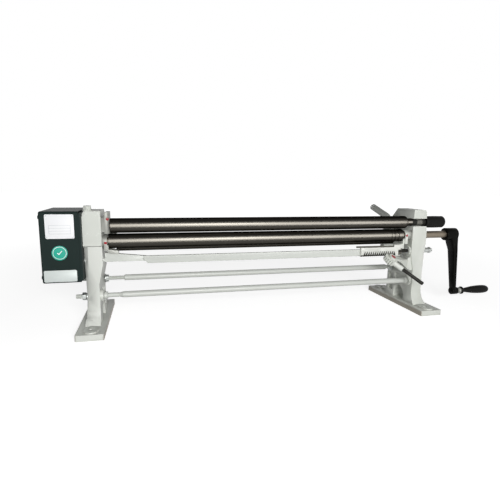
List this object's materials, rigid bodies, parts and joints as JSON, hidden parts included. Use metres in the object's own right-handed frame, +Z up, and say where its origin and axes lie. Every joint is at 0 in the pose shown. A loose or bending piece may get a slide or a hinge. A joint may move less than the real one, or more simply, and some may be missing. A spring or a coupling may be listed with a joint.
{
  "type": "slip roll machine",
  "caption": "Hand-cranked slip roll bench machine: geared pinch rolls and a rear bending roll between cast side frames, with a swing-out top roll, a rack pinch lever and a crank.",
  "frame": {"origin": "centre of the four foot bolt holes, on the ground plane", "axes": "+X along the rolls towards the crank, +Y towards the rear, away from the operator, +Z up"},
  "size_m": [1.771, 0.398, 0.417],
  "materials": {
    "frame_paint": "satin",
    "case_paint": "satin",
    "bearing_iron": "machined",
    "roll_steel": "ground and oiled",
    "bright_steel": "bright drawn",
    "ground_steel": "ground",
    "dark_steel": "blackened steel",
    "zinc_steel": "zinc plated",
    "gear_steel": "machined",
    "bronze": "turned",
    "lever_paint": "satin",
    "sleeve_steel": "knurled",
    "black_grip": "moulded",
    "crank_paint": "gloss",
    "red_plug": "moulded"
  },
  "bodies": {
    "frame": {"right_frame": "frame_paint", "left_frame": "frame_paint", "left_front_cap": "frame_paint", "cap_screws": "dark_steel", "trunnion_bolt": "zinc_steel", "trunnion_pin": "bright_steel", "lower_tie_rod": "bright_steel", "upper_tie_rod": "bright_steel", "tie_rod_nuts": "zinc_steel", "tie_rod_washers": "zinc_steel", "gear_case_cover": "case_paint", "gear_bearing_plate": "gear_steel", "case_posts": "dark_steel", "case_screws": "dark_steel", "stub_bush": "bronze", "stud_sleeves": "bronze", "lever_bracket": "frame_paint", "bracket_screws": "zinc_steel", "lever_pivot_pin": "bright_steel", "lever_cap": "red_plug", "shaft_bushes": "bronze", "bending_stops": "bearing_iron"},
    "pinch_bar": {"pinch_bar": "bright_steel", "wedge_left": "bright_steel", "wedge_right": "bright_steel", "guide_stud_right": "dark_steel", "guide_stud_left": "bright_steel", "stud_nut": "dark_steel", "rack_plate": "ground_steel", "rack_screws": "dark_steel", "rack_keeper": "dark_steel"},
    "pinch_lever": {"pinion_lever": "lever_paint", "lever_rod": "dark_steel"},
    "lower_bearings": {"lower_block_right": "bearing_iron", "lower_block_left": "bearing_iron", "lower_bush_right": "bronze", "lower_bush_left": "bronze"},
    "lower_roll": {"lower_roll": "roll_steel", "lower_gear": "gear_steel", "lower_gear_nut": "dark_steel", "crank_arm": "crank_paint", "crank_spindle": "bright_steel", "crank_screw": "dark_steel"},
    "crank_grip": {"crank_grip": "black_grip"},
    "top_gear": {"top_gear": "gear_steel"},
    "swivel": {"swivel_block": "frame_paint", "top_bush": "bronze"},
    "top_roll": {"top_roll": "roll_steel", "coupling_pin": "bright_steel", "roll_sleeve": "sleeve_steel", "roll_grip": "black_grip"},
    "bending_frame": {"bending_shaft": "bright_steel", "bending_arm_left": "frame_paint", "bending_arm_right": "frame_paint", "rear_roll_bushes": "bronze", "rear_lever": "frame_paint"},
    "rear_roll": {"rear_roll": "roll_steel"}
  },
  "joints": [
    {"name": "pinch_bar_slide", "type": "slide", "parent": "frame", "child": "pinch_bar", "axis": [1, 0, 0], "range_m": [0, 0.016]},
    {"name": "pinch_lever_turn", "type": "hinge", "parent": "frame", "child": "pinch_lever", "pos_m": [0.488, -0.11995, 0.21633], "axis": [0.309, -0.4755, 0.8236], "range_deg": [-35, 0.5]},
    {"name": "lower_roll_lift", "type": "slide", "parent": "frame", "child": "lower_bearings", "axis": [0, 0, 1], "range_m": [-0.0001, 0.0018]},
    {"name": "crank_turn", "type": "hinge", "parent": "lower_bearings", "child": "lower_roll", "pos_m": [0, -0.076, 0.303], "axis": [1, 0, 0], "continuous": true},
    {"name": "crank_grip_spin", "type": "hinge", "parent": "lower_roll", "child": "crank_grip", "pos_m": [0.93, -0.076, 0.0575], "axis": [1, 0, 0], "continuous": true},
    {"name": "top_gear_turn", "type": "hinge", "parent": "frame", "child": "top_gear", "pos_m": [-0.68, -0.076, 0.355], "axis": [1, 0, 0], "continuous": true},
    {"name": "top_roll_swing", "type": "hinge", "parent": "frame", "child": "swivel", "pos_m": [-0.63, -0.076, 0.36], "axis": [0, 0, 1], "range_deg": [-8, 0]},
    {"name": "top_roll_turn", "type": "hinge", "parent": "swivel", "child": "top_roll", "pos_m": [0, -0.076, 0.355], "axis": [1, 0, 0], "continuous": true},
    {"name": "bending_lever", "type": "hinge", "parent": "frame", "child": "bending_frame", "pos_m": [0, 0.036, 0.3], "axis": [1, 0, 0], "range_deg": [-45, 0]},
    {"name": "rear_roll_turn", "type": "hinge", "parent": "bending_frame", "child": "rear_roll", "pos_m": [0, -0.018, 0.284], "axis": [1, 0, 0], "continuous": true}
  ],
  "couplings": [
    {"joint": "pinch_lever_turn", "follows": "pinch_bar_slide", "rad_per_m": -37.53},
    {"joint": "lower_roll_lift", "follows": "pinch_bar_slide", "ratio": 0.112},
    {"joint": "top_gear_turn", "follows": "crank_turn", "ratio": -1},
    {"joint": "top_roll_turn", "follows": "crank_turn", "ratio": -1}
  ]
}
